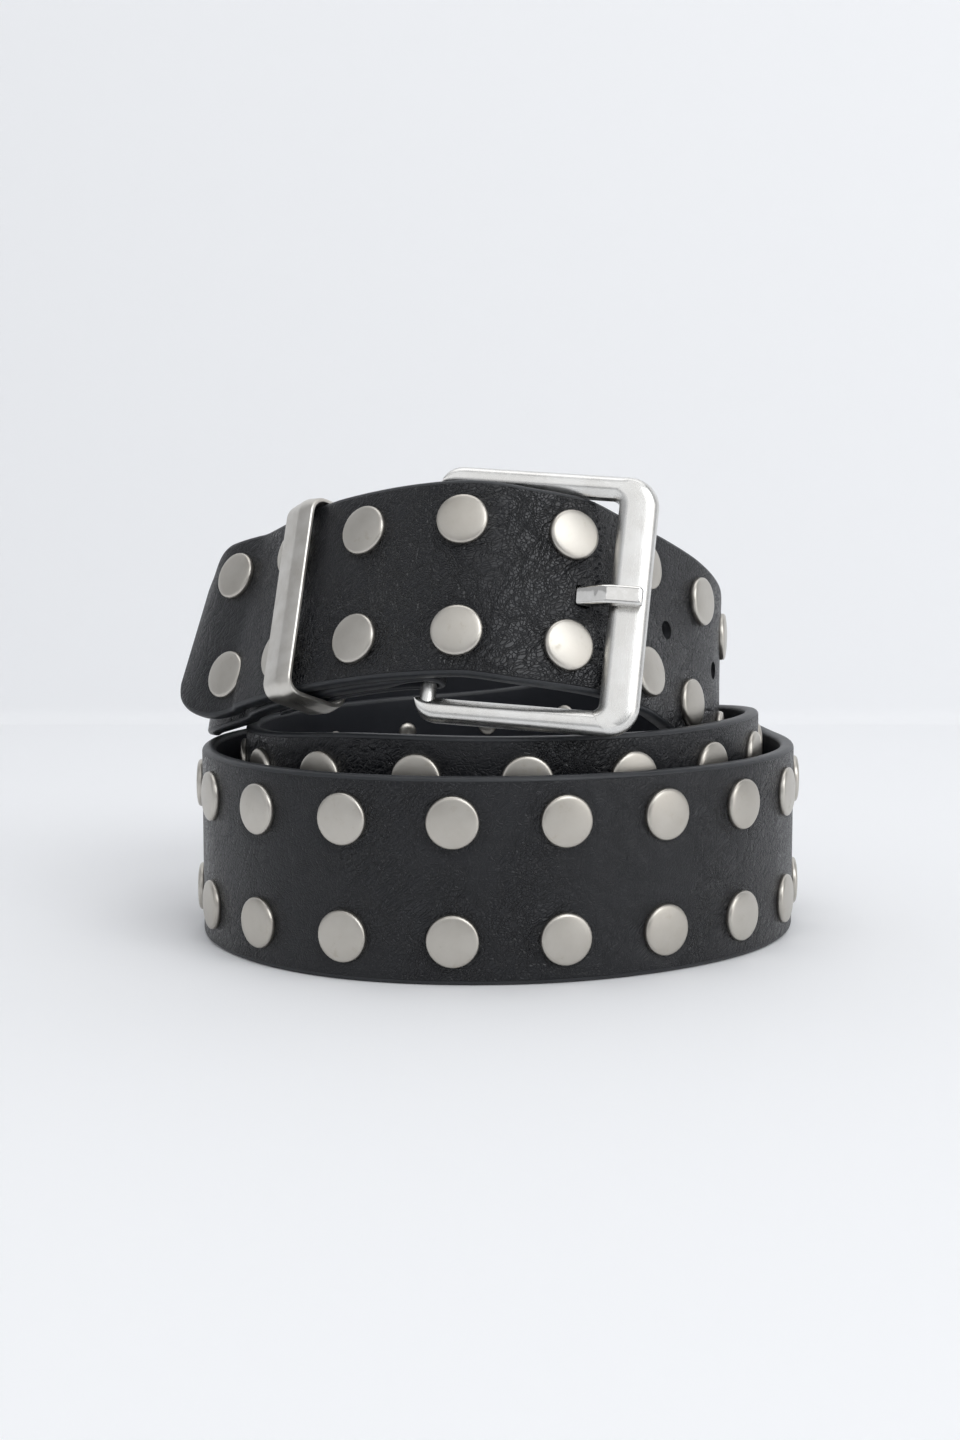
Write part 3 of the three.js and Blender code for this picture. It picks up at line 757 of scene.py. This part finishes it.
nickel = Finish("satin_nickel_studs", Metallic=1.0, Roughness=0.3)
own = nickel.node("Attribute", {"attribute_name": "own_place"}, output=1)
tone = nickel.node("Attribute", {"attribute_name": "tone"}, output=2)
own_x, own_y, _ = nickel.parts(own)
here = nickel.node("TexCoord", output=3)
from_middle = (own_x * own_x + own_y * own_y).root()
brushed = nickel.noise(nickel.place(own_x * 0.06 + tone, own_y + tone * 0.1, tone), 5200, 2, 0.6)
cloud = nickel.noise(here, 210, 3, 0.6)
stain = nickel.noise(here, 330, 4, 0.7).step(0.58, 0.75)
rim = from_middle.step(0.0044, 0.0056)
shade = (0.35 + 0.45 * tone + (cloud - 0.5) * 0.9).within()
nickel_color = nickel.blend(shade, (0.45, 0.422, 0.375), (0.575, 0.552, 0.508))
nickel_color = nickel.blend(stain * 0.45, nickel_color, (0.42, 0.38, 0.31))
nickel.give(Base_Color=nickel_color)
nickel.give(Roughness=0.38 + (cloud - 0.5) * 0.14 - rim * 0.05 + stain * 0.08)
nickel.bump(brushed * 0.5 + nickel.noise(here, 900, 2, 0.5) * 0.5, 0.00002)
stud_cap = turned_cap("stud_cap_shape", stud_profile, 32)
stud_caps = placed_copies("stud_caps", stud_lays, stud_cap, 0.5, 11, nickel.material)
bpy.data.objects.remove(stud_cap)
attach(stud_caps, "root")
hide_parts("studded_strap")

# The rivet backs: small tubular rivets set flat on the inside of the strap, one behind every stud.
rivet_profile = [  # radius and height above the back, in millimetres
    (2.3, -0.3), (2.6, 0.05), (2.55, 0.3), (2.2, 0.62), (1.5, 0.82), (0.7, 0.88), (0.3, 0.7)]
rivet_cap = turned_cap("rivet_cap_shape", rivet_profile, 14)
rivet_backs = placed_copies("rivet_backs", rivet_lays, rivet_cap, 6.28, 5, nickel.material)
bpy.data.objects.remove(rivet_cap)
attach(rivet_backs, "root")
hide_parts("studded_strap")

# The buckle frame: a flat C-shaped casting, wide at the end bar, bevelled inside and rounded outside,
# brushed and nickel plated. The heel bar is a round pin pressed into its two ends.
outer_corner = 0.007
inner_corner = 0.0016
half_height = frame_height / 2
end_round = 0.0046
round_narrowest = 0.0012
slope_width = 0.0050


def frame_station(outer, inner):
    """The frame's cross-section between an inner and an outer point of its outline."""
    outer = np.array(outer)
    inner = np.array(inner)
    width = float(np.linalg.norm(outer - inner))
    direction = (outer - inner) / width
    high = frame_depth / 2
    full = min(width / slope_width, 1.0)
    rows = [
        (0.0, -high * 0.72), (0.0, high * 0.30), (0.0002, high * 0.42), (0.0014, high * 0.90),
        (0.0017, high * 0.965), (0.0021, high)]
    rows += [(width / full * share, high) for share in (0.5, 0.62)]
    across = width / full
    rows += [
        (across - 0.0015, high * 0.97), (across - 0.0010, high * 0.86), (across - 0.0005, high * 0.62),
        (across - 0.00015, high * 0.30), (across, -high * 0.05), (across - 0.0001, -high * 0.5),
        (across - 0.0005, -high * 0.82), (across - 0.0011, -high), (across * 0.5, -high),
        (0.0008, -high), (0.0002, -high * 0.92)]
    return [(*(inner + direction * reach * full), z) for reach, z in rows]


stations = []
for from_end in (0.0, 0.0001, 0.0004, 0.0009, 0.0016, 0.0025, 0.0035, 0.0046):
    rounding = end_round - math.sqrt(max(end_round ** 2 - (end_round - from_end) ** 2, 0))
    rounding = min(rounding, side_bar - round_narrowest)
    x = -half_length + from_end
    stations.append(((x, -half_height + rounding), (x, -half_height + side_bar)))
for x in np.linspace(-half_length + 0.008, half_length - outer_corner - 0.002, 8):
    stations.append(((x, -half_height), (x, -half_height + side_bar)))
inner_middle = (half_length - end_bar - inner_corner, half_height - side_bar - inner_corner)
outer_middle = (half_length - outer_corner, half_height - outer_corner)
for turn in np.linspace(-math.pi / 2, 0, 13):
    stations.append((
        (outer_middle[0] + outer_corner * math.cos(turn), -outer_middle[1] + outer_corner * math.sin(turn)),
        (inner_middle[0] + inner_corner * math.cos(turn), -inner_middle[1] + inner_corner * math.sin(turn))))
for share in np.linspace(-0.85, 0, 5)[:-1]:
    stations.append((
        (half_length, outer_middle[1] * share), (half_length - end_bar, inner_middle[1] * share)))
stations.append(((half_length, 0.0), (half_length - end_bar, 0.0)))
stations += [((o[0], -o[1]), (i[0], -i[1])) for o, i in reversed(stations[:-1])]
frame_rings = [frame_station(outer, inner) for outer, inner in stations]
frame_points = in_buckle([point for ring in frame_rings for point in ring])
frame_faces = swept_faces(len(frame_rings), len(frame_rings[0]))
pin_sides = 24
pin_reach = half_height - side_bar / 2
pin_rings = [
    [(heel_x + heel_bar_radius * math.cos(2 * math.pi * k / pin_sides), y,
      heel_bar_radius * math.sin(2 * math.pi * k / pin_sides)) for k in range(pin_sides)]
    for y in np.linspace(-pin_reach, pin_reach, 9)]
pin_points = in_buckle([point for ring in pin_rings for point in ring])
pin_faces = [tuple(len(frame_points) + k for k in face) for face in swept_faces(len(pin_rings), pin_sides)]
buckle_frame = made_piece(
    "buckle_frame_brushed", np.concatenate([frame_points, pin_points]), frame_faces + pin_faces, 24)
frame_marks = [(index * 0.001, k * 0.0008, z) for index, ring in enumerate(frame_rings)
               for k, (_, _, z) in enumerate(ring)]
frame_marks += [(0.0, k * 0.0005, 0.0) for _ in pin_rings for k in range(pin_sides)]
run_mark = buckle_frame.data.attributes.new("run", "FLOAT_VECTOR", "POINT")
run_mark.data.foreach_set("vector", np.array(frame_marks).ravel())

brushed_steel = Finish("brushed_buckle_nickel", Metallic=1.0, Roughness=0.25)
where = brushed_steel.node("TexCoord", output=3)
run, round_it, _ = brushed_steel.parts(brushed_steel.node("Attribute", {"attribute_name": "run"}, output=1))
streaks = brushed_steel.noise(brushed_steel.place(run * 0.10, round_it), 9000, 3, 0.6)
patches = brushed_steel.noise(where, 120, 3, 0.6)
dings = brushed_steel.cells(where, 260, "F1").step(0.045, 0.0)
dings = dings * brushed_steel.noise(where, 55, 2).step(0.55, 0.7)
brushed_steel.give(Base_Color=brushed_steel.blend(
    patches.step(0.3, 0.7), (0.69, 0.68, 0.655), (0.77, 0.765, 0.745)))
brushed_steel.give(Roughness=0.20 + streaks * 0.16 + (patches - 0.5) * 0.10)
brushed_steel.bump(streaks * 0.8 - dings * 2.0, 0.00002)
buckle_frame.data.materials.append(brushed_steel.material)
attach(buckle_frame, "root")
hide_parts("buckle_frame")

# The prong: a strip of polished plated steel rolled round the heel bar at one end. It runs behind
# the tip, comes up through its hole and is bent down over the end bar.
eye_hole = heel_bar_radius + seat_gap
eye_wall = 0.0013
eye_reach = eye_hole + eye_wall
prong_half = prong_thickness / 2
nose_steps = 6
prong_rings = []
for middle, along in zip(prong_course, prong_along):
    prong_rings.append(prong_ring(middle, along, prong_width / 2, prong_half))
for step in range(1, nose_steps + 1):
    turn = math.pi / 2 * step / nose_steps * 0.92
    middle = prong_course[-1] + prong_along[-1] * prong_half * 0.8 * math.sin(turn)
    shrink = prong_half * (1 - math.cos(turn))
    prong_rings.append(prong_ring(
        middle, prong_along[-1], prong_width / 2 - shrink * 0.6, prong_half - shrink * 0.55))
prong_points = in_buckle([point for ring in prong_rings for point in ring])
prong_faces = swept_faces(len(prong_rings), len(prong_rings[0]))
eye_sides = 32
eye_rows = [(eye_hole, 1), (eye_hole + 0.0002, 1), (eye_reach - 0.0004, 1), (eye_reach, 0.85),
            (eye_reach, -0.85), (eye_reach - 0.0004, -1), (eye_hole + 0.0002, -1), (eye_hole, -1)]
eye_rings = []
for k in range(eye_sides):
    turn = 2 * math.pi * k / eye_sides
    eye_rings.append([
        (heel_x + radius * math.cos(turn), prong_y + side * prong_width / 2, radius * math.sin(turn))
        for radius, side in eye_rows])
eye_points = in_buckle([point for ring in eye_rings for point in ring])
eye_faces = [tuple(len(prong_points) + k for k in face)
             for face in swept_faces(eye_sides, len(eye_rows), closed_on_itself=True)]
prong = made_piece("prong_polished", np.concatenate([prong_points, eye_points]), prong_faces + eye_faces, 50)
polished = Finish("polished_prong_nickel", Metallic=1.0, Roughness=0.1)
where = polished.node("TexCoord", output=3)
scuffs = polished.noise(where, 700, 3, 0.6)
polished.give(Base_Color=polished.blend(scuffs.step(0.4, 0.7), (0.70, 0.69, 0.665), (0.76, 0.75, 0.73)))
polished.give(Roughness=0.09 + scuffs.step(0.45, 0.8) * 0.16)
polished.bump(polished.noise(where, 300, 2, 0.5), 0.00006)
prong.data.materials.append(polished.material)
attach(prong, "root")
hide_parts("buckle_prong")

# The keeper: a flat metal band with a low ridge, bent into a rounded rectangle round the tip, the
# strap and the folded end, and soldered behind. It is satin plated.
keeper_radius = 0.003
keeper_from_heel = 0.0365
keeper_front_play = 0.002
keeper_back_play = 0.0022
keeper_side_play = 0.0006
keeper_lay = lay_at(heel_length - keeper_from_heel)
keeper_front = strap_thickness / 2 + keeper_front_play + seat_gap
keeper_back = -(strap_thickness * 1.5 + under_gap + ply_gap + pared_thickness + keeper_back_play)
keeper_side = strap_width / 2 + keeper_side_play
keeper_rings = []
keeper_marks = []
keeper_rows = [  # place along the belt and height above the inner wall, in millimetres
    (-4.8, 0.15), (-4.65, 0.0), (4.65, 0.0), (4.8, 0.15), (4.8, 0.62), (4.62, 0.93), (4.3, 1.1),
    (1.5, 1.66), (1.1, 1.74), (0.6, 1.73), (-4.2, 1.18), (-4.6, 1.05), (-4.8, 0.75)]
corner_steps = 9
path = []
corners = ((1, 1, 0), (-1, 1, 1), (-1, -1, 2), (1, -1, 3))
for side, face_sign, quarter in corners:
    middle = (side * (keeper_side - keeper_radius),
              keeper_front - keeper_radius if face_sign > 0 else keeper_back + keeper_radius)
    for k in range(corner_steps + 1):
        turn = (quarter + k / corner_steps) * math.pi / 2
        path.append((middle, math.cos(turn), math.sin(turn)))
for middle, across_turn, out_turn in path:
    along = np.array([row[0] for row in keeper_rows]) * 0.001
    reach = keeper_radius + np.array([row[1] for row in keeper_rows]) * 0.001
    keeper_rings.append(keeper_lay.moved(
        along=along, across=middle[0] + across_turn * reach, out=middle[1] + out_turn * reach))
keeper = made_piece(
    "keeper_satin", np.concatenate(keeper_rings),
    swept_faces(len(keeper_rings), len(keeper_rows), closed_on_itself=True), 22)
keeper_place = [(x, out, middle[0] + across_turn * 0.003)
                for middle, across_turn, out_turn in path
                for x, out in [(row[0] * 0.001, row[1] * 0.001) for row in keeper_rows]]
band_mark = keeper.data.attributes.new("band", "FLOAT_VECTOR", "POINT")
band_mark.data.foreach_set("vector", np.array(keeper_place).ravel())
satin = Finish("satin_keeper_nickel", Metallic=1.0, Roughness=0.3)
where = satin.node("TexCoord", output=3)
band_x, _, band_y = satin.parts(satin.node("Attribute", {"attribute_name": "band"}, output=1))
strokes = satin.noise(satin.place(band_x, band_y * 0.05), 9000, 3, 0.6)
mist = satin.noise(where, 160, 3, 0.6)
satin.give(Base_Color=satin.blend(mist.step(0.3, 0.72), (0.57, 0.545, 0.50), (0.68, 0.66, 0.62)))
satin.give(Roughness=0.24 + strokes * 0.14 + (mist - 0.5) * 0.12)
satin.bump(strokes, 0.00002)
keeper.data.materials.append(satin.material)
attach(keeper, "root")
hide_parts("keeper_loop")

# The room: a pale floor that turns up softly into a pale wall, and large soft lights.
sweep_rows = []
floor_front = -1.6
wall_place = 0.47
sweep_radius = 0.008
for y in np.linspace(floor_front, wall_place - sweep_radius, 6):
    sweep_rows.append((y, 0.0))
for turn in np.linspace(0, math.pi / 2, 9)[1:]:
    sweep_rows.append((wall_place - sweep_radius + sweep_radius * math.sin(turn),
                       sweep_radius - sweep_radius * math.cos(turn)))
sweep_rows.append((wall_place, 1.6))
sweep_points = [(x, y, z) for y, z in sweep_rows for x in (-1.8, 1.8)]
sweep_faces = [(2 * k, 2 * k + 1, 2 * k + 3, 2 * k + 2) for k in range(len(sweep_rows) - 1)]
backdrop_mesh = bpy.data.meshes.new("backdrop")
backdrop_mesh.from_pydata(sweep_points, [], sweep_faces)
backdrop_mesh.shade_smooth()
backdrop = bpy.data.objects.new("backdrop", backdrop_mesh)
bpy.context.collection.objects.link(backdrop)
paper = Finish("backdrop_paper", Base_Color=(0.90, 0.905, 0.915), Roughness=0.75, Specular_IOR_Level=0.2)
seen_through = paper.tree.nodes.new("ShaderNodeBsdfTransparent")
behind = paper.node("NewGeometry", output=6)
one_sided = paper.tree.nodes.new("ShaderNodeMixShader")
paper.tree.links.new(behind.socket, one_sided.inputs[0])
paper.tree.links.new(paper.shader.outputs[0], one_sided.inputs[1])
paper.tree.links.new(seen_through.outputs[0], one_sided.inputs[2])
paper.tree.links.new(one_sided.outputs[0], paper.tree.nodes["Material Output"].inputs["Surface"])
backdrop_mesh.materials.append(paper.material)

for name, place, size, power, color in (
        ("key_light", (0.74, -1.10, 1.18), 1.05, 9.0, (0.96, 0.98, 1.0)),
        ("front_light", (-0.25, -1.15, 1.05), 0.9, 1.6, (1.0, 1.0, 1.0)),
        ("side_light", (1.25, -0.75, 0.45), 1.0, 3.5, (1.0, 0.99, 0.98)),
        ("fill_light", (-1.2, -0.9, 0.7), 1.1, 1.2, (0.95, 0.97, 1.0)),
        ("top_light", (0.0, 0.15, 1.5), 1.2, 5.3, (1.0, 1.0, 1.0))):
    lamp = bpy.data.lights.new(name, "AREA")
    lamp.size = size
    lamp.energy = power
    lamp.color = color
    light = bpy.data.objects.new(name, lamp)
    light.location = place
    light.rotation_euler = (Vector((0, 0, 0.05)) - Vector(place)).to_track_quat("-Z", "Y").to_euler()
    bpy.context.collection.objects.link(light)
world = bpy.data.worlds.new("room")
world.use_nodes = True
world.node_tree.nodes["Background"].inputs["Color"].default_value = (0.95, 0.965, 1.0, 1.0)
world.node_tree.nodes["Background"].inputs["Strength"].default_value = 0.45
bpy.context.scene.world = world
bpy.context.scene.view_settings.view_transform = "Standard"
